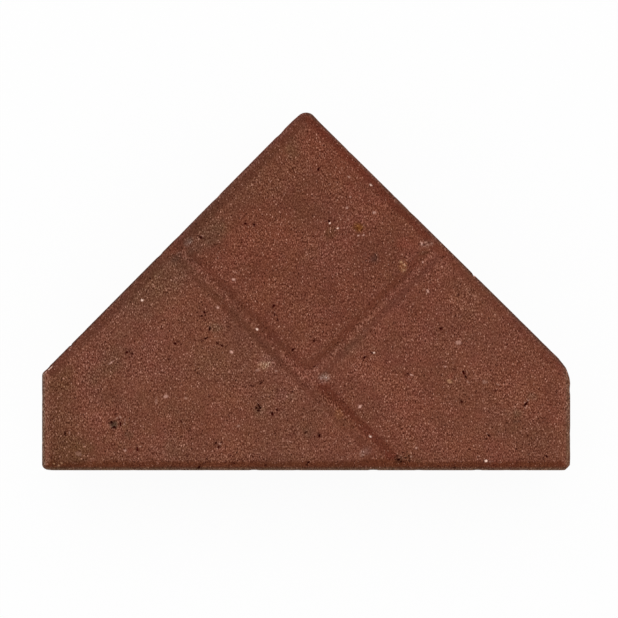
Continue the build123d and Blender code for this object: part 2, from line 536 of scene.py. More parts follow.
# The face as a fine sheet, with its rows along the legs and trimmed to the outline
def makeFace(bm):
    farCorner = (halfWidth - baseY) / sqrt(2)
    count = int((farCorner + legReach) / mesh["pitch"]) + 2
    half = count * mesh["pitch"] / 2
    middle = legReach + mesh["pitch"] / 2 - half
    bmesh.ops.create_grid(bm, x_segments=count, y_segments=count, size=half)
    bmesh.ops.translate(bm, vec=(middle, middle, 0), verts=bm.verts)
    bmesh.ops.rotate(bm, matrix=Matrix.Rotation(pi / 4, 3, "Z"), verts=bm.verts)
    inset = stone["arris"]
    for line in outline["lines"]:
        cutAlong(bm, movedIn(line, inset), trim=True)
    for cornerX, cornerY, radius, first, second in outline["corners"]:
        start = atan2(first[1], first[0])
        turn = (atan2(second[1], second[0]) - start) % (2 * pi)
        for step in range(mesh["cornerSteps"] + 1):
            angle = start + turn * step / mesh["cornerSteps"]
            reach = cornerX * cos(angle) + cornerY * sin(angle) + radius
            tangent = lineFacing(degrees(angle), reach)
            cutAlong(bm, movedIn(tangent, inset), trim=True)
    rim = [vert for vert in bm.verts if vert.is_boundary]
    bmesh.ops.remove_doubles(bm, verts=rim, dist=mesh["sliver"])
    rim = [vert for vert in bm.verts if vert.is_boundary]
    found = bmesh.ops.find_doubles(bm, verts=bm.verts, keep_verts=rim, dist=mesh["sliver"])
    bmesh.ops.weld_verts(bm, targetmap=found["targetmap"])
    print("face sheet:", len(bm.faces), "faces,", len(rim), "points round its rim")


# A tree of points, to find those near a place on the face
def treeOf(verts):
    tree = kdtree.KDTree(len(verts))
    for index, vert in enumerate(verts):
        tree.insert((vert.co.x, vert.co.y, 0), index)
    tree.balance()
    return tree


# Small marks need a finer mesh than the rest of the face
def refineRoundMarks(bm):
    verts = bm.verts[:]
    tree = treeOf(verts)
    near = set()
    for x, y, length in [spot[:3] for spot in pits + grains + chips]:
        reach = length / 2 * mm + mesh["markMargin"]
        near.update(verts[i] for _, i, _ in tree.find_range((x * mm, y * mm, 0), reach))
    edges = [e for e in bm.edges if e.verts[0] in near and e.verts[1] in near]
    bmesh.ops.subdivide_edges(bm, edges=edges, cuts=mesh["markCuts"], use_grid_fill=True)
    print("after refining:", len(bm.faces), "faces")


# Makes one more ring below the open edge, at a height and at a depth in from the outline
def addRing(bm, openEdges, height, inset):
    made = bmesh.ops.extrude_edge_only(bm, edges=openEdges)["geom"]
    for vert in made:
        if isinstance(vert, bmesh.types.BMVert):
            depth, outX, outY = depthInside(vert.co.x, vert.co.y, outline)
            vert.co.x += outX * (depth - inset)
            vert.co.y += outY * (depth - inset)
            vert.co.z = height
    return [edge for edge in made if isinstance(edge, bmesh.types.BMEdge)]


def makeSides(bm):
    arris, bedArris = stone["arris"], stone["bedArris"]
    eased = 1 - sqrt(0.5)
    openEdges = [edge for edge in bm.edges if edge.is_boundary]
    openEdges = addRing(bm, openEdges, bedZ - arris * eased, arris * eased)
    openEdges = addRing(bm, openEdges, bedZ - arris, 0)
    rings = round((bedZ - arris - bedArris) / mesh["ringStep"])
    for ring in range(1, rings + 1):
        height = bedZ - arris - (bedZ - arris - bedArris) * ring / rings
        openEdges = addRing(bm, openEdges, height, 0)
    openEdges = addRing(bm, openEdges, bedArris * eased, bedArris * eased)
    return addRing(bm, openEdges, 0, bedArris)


def makeBed(bm, openEdges):
    bed = bmesh.ops.contextual_create(bm, geom=openEdges)["faces"]
    for axis in (Vector((1, 0, 0)), Vector((0, 1, 0))):
        reach = halfWidth if axis.x else -baseY
        steps = int(2 * reach / mesh["bedPitch"])
        for step in range(1, steps):
            place = axis * (reach * (2 * step / steps - 1))
            verts = dict.fromkeys(vert for face in bed for vert in face.verts)  # keeps their order
            edges = dict.fromkeys(edge for face in bed for edge in face.edges)
            bmesh.ops.bisect_plane(
                bm,
                geom=list(verts) + list(edges) + bed,
                dist=mesh["snap"],
                plane_co=place,
                plane_no=axis,
            )
            bed = [face for face in bm.faces if max(vert.co.z for vert in face.verts) < mesh["snap"]]
    print("bed:", len(bed), "faces")


def hollows(place, name):
    density, depth = unevenness[name]
    return depth * max(0, unevenness["hollowLevel"] + noise.noise(place * density))


# Pushes every point in by a little, as pressing, stripping and handling leave it
def weather(bm):
    bm.normal_update()
    moves = []
    for vert in bm.verts:
        place = vert.co
        upright = smoothStep(abs(vert.normal.z), *unevenness["levelFrom"])
        below = bedZ - place.z
        onSide = 1 - upright if below > topZ / 2 else 1
        onSide *= smoothStep(below, *unevenness["sideEase"])
        depth = 0
        if onSide < 1:
            onFace = sum(hollows(place, name) for name in ("faceSwell", "faceLumps", "faceGrit"))
            depth += onFace * (1 - onSide) * upright
        if onSide > 0:
            across, down = unevenness["dragWaves"]
            dragged = Vector((place.x * across, place.y * across, place.z * down))
            rough = sum(hollows(place, name) for name in ("sideSwell", "sideLumps", "sideGrit"))
            drag = max(0, unevenness["dragLevel"] + noise.noise(dragged))
            rough += unevenness["dragDepth"] * drag
            depth += rough * onSide
        inside = max(depthInside(place.x, place.y, outline)[0], 0)
        for height, name in ((bedZ, "upperChips"), (0, "lowerChips")):
            fromEdge = hypot(place.z - height, inside)
            if fromEdge < unevenness["edgeReach"]:
                density, chipDepth = unevenness[name]
                chip = smoothStep(noise.noise(place * density), *unevenness["chipFrom"])
                depth += chipDepth * chip * (1 - fromEdge / unevenness["edgeReach"])
        moves.append(vert.normal * -depth)
    for vert, move in zip(bm.verts, moves):
        vert.co += move


# Each kind of mark: how ragged its edge is, where it fades, in its own radii, and how many
# of its lengths out from its middle points are looked for
marking = {
    "stain": {"ragged": 0.35, "fades": (0.35, 1.35), "search": 0.9},
    "grain": {"ragged": 0.3, "fades": (0.6, 1.1), "search": 0.9},
    "pit": {"ragged": 0.45, "fades": (0.6, 1.15), "search": 2.5},
    "chip": {"fades": (0.3, 1.1), "search": 0.6},
    "porous": {"fades": (1.0, 3.5)},  # the paste round a pit
}
raggedEdge = {"waves": 1.6, "finer": 2.7, "finerShare": 0.6}  # waves to the mark's width
mottle = {"lengths": (1.8, 3.0), "waves": 1300, "level": 0.2}  # of the longer grains, in mm
chipping = {"reach": 1.5 * mm, "drop": 0.4}  # how far in a chip goes, and how far down for that


# How far along its own radius a place lies from the middle of a mark, with a ragged edge
def spread(place, mark, kind):
    x, y, length, width, turn = mark[:5]
    awayX, awayY = place.x - x * mm, place.y - y * mm
    along = awayX * cos(radians(turn)) + awayY * sin(radians(turn))
    across = awayY * cos(radians(turn)) - awayX * sin(radians(turn))
    share = hypot(along / (length * mm / 2), across / (width * mm / 2))
    density = raggedEdge["waves"] / (min(length, width) * mm)
    coarse = noise.noise(Vector((place.x * density, place.y * density, x)))
    density *= raggedEdge["finer"]
    fine = noise.noise(Vector((place.x * density, place.y * density, y)))
    return share + marking[kind]["ragged"] * (coarse + raggedEdge["finerShare"] * fine)


# 1 in the middle of a mark, and 0 outside it
def faded(share, kind):
    return 1 - smoothStep(share, *marking[kind]["fades"])


def nearMark(verts, tree, mark, kind):
    reach = mark[2] * mm * marking[kind]["search"]
    found = tree.find_range((mark[0] * mm, mark[1] * mm, 0), reach)
    return [verts[index] for _, index, _ in found]


def tinted(colour, tint, share):
    return [channel * (1 + share * (there - 1)) for channel, there in zip(colour, tint)]


# 1 at the edge, and 0 from a distance on
def within(depth, reach):
    begins, ends = tinting["reachFades"]
    return 1 - smoothStep(depth, begins * reach, ends * reach)


# Slopes, rims and joints as shares of the face's colour. On the slopes and in the dummy joints these are
# painted shade and painted light, darker or paler by which way each surface faces the light
slopeColours = {
    "squareFace": (0.966, 0.896, 0.881),
    "rightFace": (1.023, 0.985, 0.985),
    # The outer slopes: painted shade, darkest on the base slope, which faces away from the key light
    "base": (0.80, 0.67, 0.53),
    "leftLeg": (0.80, 0.77, 0.76),
    "rightLeg": (0.80, 0.66, 0.64),
    "rightLegLower": (0.90, 0.84, 0.83),
    # The walls and floors of the dummy joints: painted shade and painted light, on the walls by which way
    # they face, on the floors by where they lie along a joint
    "longUpper": (1.01, 0.98, 0.97),  # the long joint's upper wall, beside the square
    "longLower": (0.92, 0.77, 0.73),  # and beyond it
    "longFacing": (0.88, 0.87, 0.85),  # its lower wall
    "longFacingLower": (0.98, 0.95, 0.94),
    "shortUpper": (1.07, 1.05, 1.01),
    "shortFacing": (0.92, 0.95, 0.98),
    "jointFloor": (1.12, 1.18, 1.25),
    "jointFloorLower": (0.93, 0.88, 0.85),  # of the long joint, beyond the square
    "jointFloorLit": (1.05, 1.03, 1.01),  # the same, on its left side
    "shortFloor": (1.03, 1.05, 1.06),
    "ridge": (1.04, 1.09, 1.12),  # painted highlight along the upper edge of a slope, where it rounds into the face
    "dust": (1.32, 1.50, 1.62),  # along both ends: partly dust, partly painted light on the end slopes
    "wideDustAndLight": (1.13, 1.18, 1.18),  # further in, along the right end: partly dust, partly painted light
    "leftEndEdge": (0.78, 1.12, 1.20),
    "rightEndEdge": (0.86, 1.12, 1.13),
    "baseEdge": (0.64, 1.0, 1.32),
    "baseRim": (1.95, 2.4, 2.5),
    "leftLegEdge": (1.14, 1.31, 1.58),
    "rightLegEdge": (1.0, 1.68, 2.05),
    "lowerLegRim": (0.68, 0.78, 0.80),
    "nearEdge": (0.95, 0.945, 0.93),  # in from the base and the left end
}

# How far in from the stone's edge some of them go
colourReach = {
    "dust": 4.7 * mm,
    "wideDustAndLight": 7.0 * mm,
    "leftEndEdge": 2.0 * mm,
    "rightEndEdge": 2.8 * mm,
    "baseEdge": 2.0 * mm,
    "baseRim": 0.90 * mm,
    "leftLegEdge": 2.4 * mm,
    "rightLegEdge": 1.6 * mm,
    "lowerLegRim": 0.95 * mm,
    "nearEdge": 9.0 * mm,
    "plainRidge": 8.0 * mm,
}

# The rest that places them
tinting = {
    "reachFades": (0.6, 1.2),  # shares of a reach at which it fades
    "side": (0.4 * mm, 3.0 * mm),  # below the rim, where the sides' own colour takes over
    "overEdge": (2.5 * mm, 0.5 * mm),  # and where the rim's ends
    "slopeFade": 1.9 * mm,
    "squareOn": (0.75, 0.95),  # how squarely an edge has to face a way
    "slopeTop": (0.84, 0.99),  # heights on a slope, from 0 at its foot to 1
    "wall": (0.1, 0.4),
    "wholeWall": (0.02, 0.2),
    "floor": (0.02, 0.25),
    "ridgeBegins": (1.0, 1.12),  # in slope widths in from its foot
    "ridgeEnds": (1.25, 1.6),
    "beyond": (-4.0 * mm, 4.0 * mm),  # past the line of a dummy joint
    "farBeyond": (2.0 * mm, 9.0 * mm),
    "lowDown": (-12.0 * mm, 4.0 * mm),
    "lit": (-1.2 * mm, 0.2 * mm),
    "shortFloor": -3.0 * mm,
    "lowerLegFade": 0.6,  # how much of a leg's pale edge is gone low down
    "rightEndDust": 0.1,  # as a share of the left end's; that pale is partly dust, partly painted light
    "leastDust": 0.4,
    "dustPatches": 190,  # waves to the metre
}


# The colour that a place has from the slopes and rims alone, with painted shade and light on the slopes
# and in the joints, and how much it is a slope
def slopeTint(x, y, z):
    depth, outX, outY = depthInside(x, y, outline)
    rise, inward, faceX, faceY = riseAt(x, y)
    patchy = 0.5 + 0.5 * noise.noise(Vector((x, y, 0)) * tinting["dustPatches"])
    toBase = smoothStep(-outY, *tinting["squareOn"])
    toLeftEnd = smoothStep(-outX, *tinting["squareOn"])
    toRightEnd = smoothStep(outX, *tinting["squareOn"])
    toEnd = toLeftEnd + toRightEnd
    toLeg = 1 - toBase - toEnd
    toLeftLeg = toLeg if outX < 0 else 0
    toRightLeg = toLeg - toLeftLeg
    slopeEnd = stone["slopeRun"] + toLeftLeg * strays["leftLegSlope"]
    slopeEnd += toBase * strays["baseSlopeWider"]
    outer = 1 - smoothStep(depth, slopeEnd, slopeEnd + tinting["slopeFade"])
    sloping = 1 - smoothStep(rise, *tinting["slopeTop"])
    wall = sloping * smoothStep(rise, *tinting["wall"]) * (1 - outer)
    wholeWall = sloping * smoothStep(rise, *tinting["wholeWall"]) * (1 - outer)
    floor = (1 - smoothStep(rise, *tinting["floor"])) * (1 - outer)
    fromLeftLeg = leftLeg[2] - leftLeg[0] * x - leftLeg[1] * y
    fromRightLeg = rightLeg[2] - rightLeg[0] * x - rightLeg[1] * y
    pastShort = fromLeftLeg - stone["squareSide"]
    pastLong = fromRightLeg - stone["squareSide"]
    beyond = smoothStep(pastShort, *tinting["beyond"])
    farBeyond = smoothStep(pastShort, *tinting["farBeyond"])
    lowDown = smoothStep(max(pastShort, pastLong), *tinting["lowDown"])
    lit = smoothStep(pastLong, *tinting["lit"])
    along, facing = faceX - faceY, faceX + faceY
    onLong = 1 if abs(facing) > abs(along) else 0
    gone, whole = tinting["overEdge"]
    onTop = smoothStep(z, bedZ - gone, bedZ - whole)
    # The pale along the ends is partly dust in patches, partly painted light on the end slopes
    dust = (toLeftEnd + tinting["rightEndDust"] * toRightEnd) * (tinting["leastDust"] + patchy)
    notLow = 1 - tinting["lowerLegFade"] * lowDown
    tints = {
        "squareFace": max(pastShort, pastLong) < 0,
        "rightFace": pastLong < 0 < pastShort,
        # The joint walls and floors: painted shade and painted light
        "longUpper": wall * onLong * (facing < 0) * (1 - beyond),
        "longLower": wholeWall * onLong * (facing < 0) * beyond,
        "longFacing": wall * onLong * (facing > 0) * (1 - beyond),
        "longFacingLower": wall * onLong * (facing > 0) * beyond,
        "shortUpper": wall * (1 - onLong) * (along > 0),
        "shortFacing": wall * (1 - onLong) * (along < 0),
        "jointFloor": floor * (1 - farBeyond),
        "jointFloorLower": floor * farBeyond * (1 - lit),
        "jointFloorLit": floor * farBeyond * lit,
        "shortFloor": floor * (pastLong < tinting["shortFloor"]),
        # The outer slopes: painted shade
        "base": sloping * outer * toBase,
        "leftLeg": sloping * outer * toLeftLeg,
        "rightLeg": sloping * outer * toRightLeg * (1 - lowDown),
        "rightLegLower": sloping * outer * toRightLeg * lowDown,
        "dust": within(depth, colourReach["dust"]) * dust,
        "wideDustAndLight": within(depth, colourReach["wideDustAndLight"]) * toRightEnd,
        "nearEdge": within(depth, colourReach["nearEdge"]) * (toBase + toLeftEnd),
    }
    rims = {
        "leftEndEdge": toLeftEnd,
        "rightEndEdge": toRightEnd,
        "baseEdge": toBase,
        "baseRim": toBase,
        "leftLegEdge": toLeftLeg * notLow,
        "rightLegEdge": toRightLeg * notLow,
        "lowerLegRim": toLeg * lowDown,
    }
    for name, share in rims.items():
        tints[name] = within(depth, colourReach[name]) * onTop * share
    # The painted highlight on the upper edge of a slope is left off round the outside and above the long
    # joint
    plain = within(depth, colourReach["plainRidge"])
    plain = max(plain, onLong * (facing < 0))
    ridge = smoothStep(inward, *tinting["ridgeBegins"])
    ridge *= 1 - smoothStep(inward, *tinting["ridgeEnds"])
    tints["ridge"] = ridge * (1 - plain)
    colour = [1.0, 1.0, 1.0]
    for name, share in tints.items():
        colour = tinted(colour, slopeColours[name], share)
    return colour, max(sloping * outer * (1 - toEnd), wall)


# Paints shade and light into the slopes and joints, tints the rims, and gives the points of the face and
# its edge
def tintFace(bm, layers):
    verts = []
    for vert in bm.verts:
        vert[layers["side"]] = smoothStep(bedZ - vert.co.z, *tinting["side"])
        vert[layers["stain"]] = (1, 1, 1, 1)
        vert[layers["grain"]] = grainColours["pink"] + (0,)
        if vert[layers["side"]] < 1:
            verts.append(vert)
            # The stain layer also carries the painted shade and light of the slopes and joints
            colour, vert[layers["slope"]] = slopeTint(*vert.co)
            vert[layers["stain"]] = tinted((1, 1, 1), colour, 1 - vert[layers["side"]]) + [1]
    return verts


def layStains(verts, tree, layers):
    for mark in stains:
        name, strength = mark[5:]
        for vert in nearMark(verts, tree, mark, "stain"):
            weight = strength * faded(spread(vert.co, mark, "stain"), "stain")
            colour = tinted(vert[layers["stain"]][:3], stainColours[name], weight)
            vert[layers["stain"]] = colour + [1]
            if name in speckledStains:
                vert[layers["speckle"]] = max(vert[layers["speckle"]], weight)


def layGrains(verts, tree, layers):
    for mark in grains:
        name, strength = mark[5:]
        mottled = smoothStep(mark[2], *mottle["lengths"])
        for vert in nearMark(verts, tree, mark, "grain"):
            weight = strength * faded(spread(vert.co, mark, "grain"), "grain")
            weight *= 1 + mottled * (noise.noise(vert.co * mottle["waves"]) - mottle["level"])
            weight = min(weight, 1) * (1 - vert[layers["side"]])
            if weight >= vert[layers["grain"]][3]:
                vert[layers["grain"]] = grainColours[name] + (weight,)


def sinkPits(verts, tree, layers):
    for mark in pits:
        depth = mark[5]
        for vert in nearMark(verts, tree, mark, "pit"):
            share = spread(vert.co, mark, "pit")
            sunk = faded(share, "pit")
            vert.co.z -= depth * mm * sunk
            # The pit layer is painted shade, darker the deeper the pit
            vert[layers["pit"]] = max(vert[layers["pit"]], sunk * min(1, depth / darkPit))
            vert[layers["porous"]] = max(vert[layers["porous"]], faded(share, "porous"))


def chipEdge(verts, tree):
    for x, y, length, depth in chips:
        for vert in nearMark(verts, tree, (x, y, length), "chip"):
            away = hypot(vert.co.x - x * mm, vert.co.y - y * mm) / (length * mm / 2)
            inside, outX, outY = depthInside(vert.co.x, vert.co.y, outline)
            share = depth * mm * faded(away, "chip") * (1 - smoothStep(inside, 0, chipping["reach"]))
            vert.co -= Vector((outX, outY, chipping["drop"])) * share


# Makes what the material reads at each point, and sinks the pits and chips
def markFace(bm):
    layers = {name: bm.verts.layers.float_color.new(name) for name in ("stain", "grain")}
    for name in ("pit", "porous", "speckle", "slope", "side"):
        layers[name] = bm.verts.layers.float.new(name)
    verts = tintFace(bm, layers)
    tree = treeOf(verts)
    layStains(verts, tree, layers)
    layGrains(verts, tree, layers)
    sinkPits(verts, tree, layers)
    chipEdge(verts, tree)


# The legs don't stand quite square to each other
def skewLegs(bm):
    length = halfWidth * sqrt(2)
    skews = (
        (leftLeg, rightLeg, strays["leftLegSkew"]),
        (rightLeg, leftLeg, strays["rightLegSkew"]),
    )
    for vert in bm.verts:
        place = vert.co.copy()
        for leg, otherLeg, (atTip, atShoulder) in skews:
            depth = leg[2] - leg[0] * place.x - leg[1] * place.y
            along = otherLeg[2] - otherLeg[0] * place.x - otherLeg[1] * place.y
            reach = atTip + (atShoulder - atTip) * along / length
            share = 1 - smoothStep(depth, 0, strays["skewReach"])
            share *= smoothStep(along, *strays["tipEase"])
            share *= smoothStep(halfWidth - abs(place.x), 0, strays["endEase"])
            vert.co += Vector((leg[0], leg[1], 0)) * (reach * share)


def makeStone():
    bm = bmesh.new()
    makeFace(bm)
    refineRoundMarks(bm)
    for vert in bm.verts:
        vert.co.z = bedZ + stone["jointDepth"] * riseAt(vert.co.x, vert.co.y)[0]
    openEdges = makeSides(bm)
    makeBed(bm, openEdges)
    bmesh.ops.recalc_face_normals(bm, faces=bm.faces)
    weather(bm)
    markFace(bm)
    skewLegs(bm)
    bmesh.ops.dissolve_degenerate(bm, dist=mesh["shortest"], edges=bm.edges)
    for face in bm.faces:
        face.smooth = True
    data = bpy.data.meshes.new("pressed_stone")
    bm.to_mesh(data)
    print("stone:", len(data.polygons), "faces, closed:", all(e.is_manifold for e in bm.edges))
    bm.free()
    piece = bpy.data.objects.new("pressed_stone", data)
    bpy.context.scene.collection.objects.link(piece)
    return piece


def addNode(tree, kind, settings=None, inputs=None):
    node = tree.nodes.new("ShaderNode" + kind)
    for name, value in (settings or {}).items():
        setattr(node, name, value)
    for socket, value in (inputs or {}).items():
        if isinstance(value, bpy.types.NodeSocket):
            tree.links.new(value, node.inputs[socket])
        else:
            node.inputs[socket].default_value = value
    return node


def sums(tree, operation, first, second=0.0):
    return addNode(tree, "Math", {"operation": operation}, {0: first, 1: second}).outputs[0]


def ramp(tree, value, low, high, toLow=0.0, toHigh=1.0, smooth=True):
    settings = {"interpolation_type": "SMOOTHSTEP" if smooth else "LINEAR"}
    inputs = {"Value": value, "From Min": low, "From Max": high, "To Min": toLow, "To Max": toHigh}
    return addNode(tree, "MapRange", settings, inputs).outputs[0]


def blend(tree, share, first, second, mode="MIX", clamp=False):
    settings = {"data_type": "RGBA", "blend_type": mode, "clamp_result": clamp}
    return addNode(tree, "Mix", settings, {0: share, 6: first, 7: second}).outputs[2]


def attribute(tree, name, output="Fac"):
    return addNode(tree, "Attribute", {"attribute_name": name}).outputs[output]


def noiseField(tree, place, scale, detail=2.0, rough=0.5, output="Fac"):
    inputs = {"Vector": place, "Scale": scale, "Detail": detail, "Roughness": rough}
    return addNode(tree, "TexNoise", inputs=inputs).outputs[output]


# Cells of one size: the distance to their middles, and two draws for each cell
def cellField(tree, place, scale):
    cells = addNode(tree, "TexVoronoi", inputs={"Vector": place, "Scale": scale})
    draws = addNode(tree, "SeparateColor", inputs={0: cells.outputs["Color"]})
    return cells.outputs["Distance"], draws.outputs[0], draws.outputs[1]


# Red, green and blue that each vary by themselves about 1
def hueDrift(tree, place, scale, amount):
    field = noiseField(tree, place, scale, rough=0.55, output="Color")
    gain = tuple(2 * part for part in amount)
    lift = tuple(1 - part for part in amount)
    inputs = {0: field, 1: gain, 2: lift}
    return addNode(tree, "VectorMath", {"operation": "MULTIPLY_ADD"}, inputs).outputs[0]


# Most of what a noise texture gives lies between these
mostNoise = (0.35, 0.65)
nearlyAllNoise = (0.3, 0.7)

# Scales are waves or cells to the metre
concrete = {
    "face": (0.162, 0.0527, 0.0302, 1),
    "wideDrift": (28, (0.06, 0.08, 0.08)),  # its scale, and how far each channel goes
    "closeDrift": (140, (0.055, 0.075, 0.075)),
    "levelDrift": (55, 0.92, 1.08),  # its scale, and its darkest and palest
    "livelyScale": 60,
    "lively": (0.8, 1.15),  # how strong the grain is where it is weakest and strongest
    "slopeCalm": 0.65,  # and on a slope, as a share of that
    "bloomLouder": 0.8,  # how much stronger in a bloom
    "bloomGrains": 0.2,  # and how many more pale grains there
    "channelPowers": (1.0, 1.38, 1.57),  # a pale grain is also greyer, and a dark one redder
    "grainDrawn": (1.55, 0.72, 1.0),  # grains and pores are narrower across the stone
    "sandScale": 2200,
    "sandSpread": 0.75,
    "gritScale": 1240,
    "gritSpread": 2.2,
    "grainScale": 1000,
    "grainShare": 0.22,
    "grainSize": (0.25, 0.5),  # in cells
    "paleGrain": (0.60, 0.30, 0.215, 1),
    "poreScale": 950,
    "poreShare": 0.10,
    "porousShare": 0.25,  # as many more round a pit
    "poreSize": (0.3, 0.5),
    # Pores and pits are darkened by painted shade, for the shadow in the holes
    "poreShade": (0.24, 0.07, 0.03, 1),
    "pitShade": (0.30, -0.15, -0.35, 1),
    "relief": {"grit": 0.8, "grain": 0.3, "streak": 0.8},  # as shares of a pore's depth
    "reliefDepth": 0.3 * mm,
    "reliefStrength": (0.5, 0.9),  # on the face and on the sides
    "dotCore": 0.6,  # how much of the radius of a grain or a pore is whole
    "roughness": 0.93,
    "specular": 0.05,
}

# The same, for what only the sides and the bed have
sides = {
    "tint": (1.15, 1.24, 1.22, 1),  # as shares of the face's colour
    "streakScale": 420,
    "streakDrawn": (1, 1, 0.05),
    "streaks": (0.78, 1.2),  # their darkest and palest
    "dust": (0.27, 0.165, 0.125, 1),
    "dustScale": 75,
    "dustFrom": (0.45, 0.75),  # the noise at which it begins, and is thickest
    "dustMost": 0.55,
    "voidKinds": ((520, 1.0), (240, 0.30)),  # their scales, and how many of each
    "voidShare": (0.05, 0.34),  # at the upper edge and at the bed
    "voidSize": (0.16, 0.58),
    # painted shade in the voids
    "voidShade": (0.36, 0.25, 0.22, 1),
    "voidStray": (900, 4.0 * mm),  # the scale and the reach of their ragged edges
    "voidClumps": (48, 0.1),  # their scale, and how many voids there are between them
}


# Dots in cells: a share of them holds one, of a size between two
def dots(tree, place, scale, share, sizes, crisp=True):
    distance, pick, draw = cellField(tree, place, scale)
    above = sums(tree, "SUBTRACT", pick, sums(tree, "SUBTRACT", 1.0, share))
    if crisp:
        chosen = sums(tree, "GREATER_THAN", above, 0.0)
    else:
        chosen = ramp(tree, sums(tree, "DIVIDE", above, share), 0, 1, smooth=False)
    size = ramp(tree, draw, 0, 1, *sizes, smooth=False)
    inside = ramp(tree, sums(tree, "DIVIDE", distance, size), 1, concrete["dotCore"])
    return sums(tree, "MULTIPLY", chosen, inside)


# Paste: its colour drifts in wide clouds and in small blotches
def pasteColour(tree, place):
    colour = concrete["face"]
    for scale, amount in (concrete["wideDrift"], concrete["closeDrift"]):
        colour = blend(tree, 1.0, colour, hueDrift(tree, place, scale, amount), "MULTIPLY")
    scale, low, high = concrete["levelDrift"]
    drift = noiseField(tree, place, scale, detail=3, rough=0.55)
    drift = ramp(tree, drift, *nearlyAllNoise, low, high, smooth=False)
    colour = blend(tree, 1.0, colour, drift, "MULTIPLY")
    # The stain colour carries real stains and also the painted shade and light of the slopes and joints
    return blend(tree, 1.0, colour, attribute(tree, "stain", "Color"), "MULTIPLY")


# Drag marks down the sides, and dust and lime that cling to them
def dressSides(tree, place, side, faceColour):
    across = addNode(tree, "Mapping", inputs={"Vector": place, "Scale": sides["streakDrawn"]}).outputs[0]
    streak = noiseField(tree, across, sides["streakScale"], detail=3, rough=0.6)
    level = ramp(tree, streak, *nearlyAllNoise, *sides["streaks"], smooth=False)
    cling = noiseField(tree, place, sides["dustScale"], detail=5, rough=0.65)
    dust = ramp(tree, cling, *sides["dustFrom"], 0.0, sides["dustMost"])
    colour = blend(tree, 1.0, faceColour, sides["tint"], "MULTIPLY")
    colour = blend(tree, 1.0, colour, level, "MULTIPLY")
    colour = blend(tree, dust, colour, sides["dust"])
    return blend(tree, side, faceColour, colour), streak


# Sand and grit in the paste, livelier in some places than in others
def addSand(tree, place, drawn, calm, speckle, colour):
    lively = noiseField(tree, place, concrete["livelyScale"])
    lively = ramp(tree, lively, *mostNoise, *concrete["lively"])
    lively = sums(tree, "MULTIPLY", lively, calm)
    louder = ramp(tree, speckle, 0, 1, 1.0, 1 + concrete["bloomLouder"], smooth=False)
    lively = sums(tree, "MULTIPLY", lively, louder)
    sand = cellField(tree, drawn, concrete["sandScale"])[1]
    sandLift = sums(tree, "MULTIPLY", sums(tree, "SUBTRACT", sand, 0.5), concrete["sandSpread"])
    grit = noiseField(tree, drawn, concrete["gritScale"], detail=0)
    gritLift = sums(tree, "MULTIPLY", sums(tree, "SUBTRACT", grit, 0.5), concrete["gritSpread"])
    lift = sums(tree, "MULTIPLY", sums(tree, "ADD", sandLift, gritLift), lively)
    levels = {}
    for socket, power in enumerate(concrete["channelPowers"]):
        levels[socket] = sums(tree, "EXPONENT", sums(tree, "MULTIPLY", lift, power))
    level = addNode(tree, "CombineColor", inputs=levels).outputs[0]
    return blend(tree, 1.0, colour, level, "MULTIPLY"), grit


def addGrains(tree, drawn, calm, speckle, colour):
    few = concrete["grainShare"]
    share = ramp(tree, speckle, 0, 1, few, few + concrete["bloomGrains"], smooth=False)
    grain = dots(tree, drawn, concrete["grainScale"], share, concrete["grainSize"], crisp=False)
    grain = sums(tree, "MULTIPLY", grain, calm)
    return blend(tree, grain, colour, concrete["paleGrain"]), grain


# Pores: dark dots of painted shade, for holes too small for the mesh
def addPores(tree, drawn, colour):
    more = sums(tree, "MULTIPLY", attribute(tree, "porous"), concrete["porousShare"])
    share = sums(tree, "ADD", more, concrete["poreShare"])
    pore = dots(tree, drawn, concrete["poreScale"], share, concrete["poreSize"])
    return blend(tree, pore, colour, concrete["poreShade"], "MULTIPLY"), pore


# Voids in the sides: small and large ones in clumps, most near the bed, painted dark as the shade in the
# holes
def addVoids(tree, place, side, colour, pore):
    scale, reach = sides["voidStray"]
    stray = noiseField(tree, place, scale, output="Color")
    inputs = {0: stray, 1: (reach,) * 3, 2: place}
    loose = addNode(tree, "VectorMath", {"operation": "MULTIPLY_ADD"}, inputs).outputs[0]
    few, many = sides["voidShare"]
    height = addNode(tree, "SeparateXYZ", inputs={0: place}).outputs[2]
    share = ramp(tree, height, 0, bedZ, many, few, smooth=False)
    scale, between = sides["voidClumps"]
    clump = ramp(tree, noiseField(tree, place, scale), *mostNoise, between, 1.0)
    share = sums(tree, "MULTIPLY", share, clump)
    for scale, part in sides["voidKinds"]:
        opened = dots(tree, loose, scale, sums(tree, "MULTIPLY", share, part), sides["voidSize"])
        opened = sums(tree, "MULTIPLY", opened, side)
        colour = blend(tree, opened, colour, sides["voidShade"], "MULTIPLY")
        pore = sums(tree, "MAXIMUM", pore, opened)
    return colour, pore


# Relief from the same grit, grains, streaks and pores
def addRelief(tree, side, parts, sunk):
    bumps = 0.0
    for name, field in parts.items():
        raised = sums(tree, "MULTIPLY", field, concrete["relief"][name])
        bumps = sums(tree, "ADD", bumps, raised)
    bumps = sums(tree, "SUBTRACT", bumps, sunk)
    strength = ramp(tree, side, 0, 1, *concrete["reliefStrength"])
    inputs = {"Height": bumps, "Strength": strength, "Distance": concrete["reliefDepth"]}
    return addNode(tree, "Bump", inputs=inputs).outputs[0]


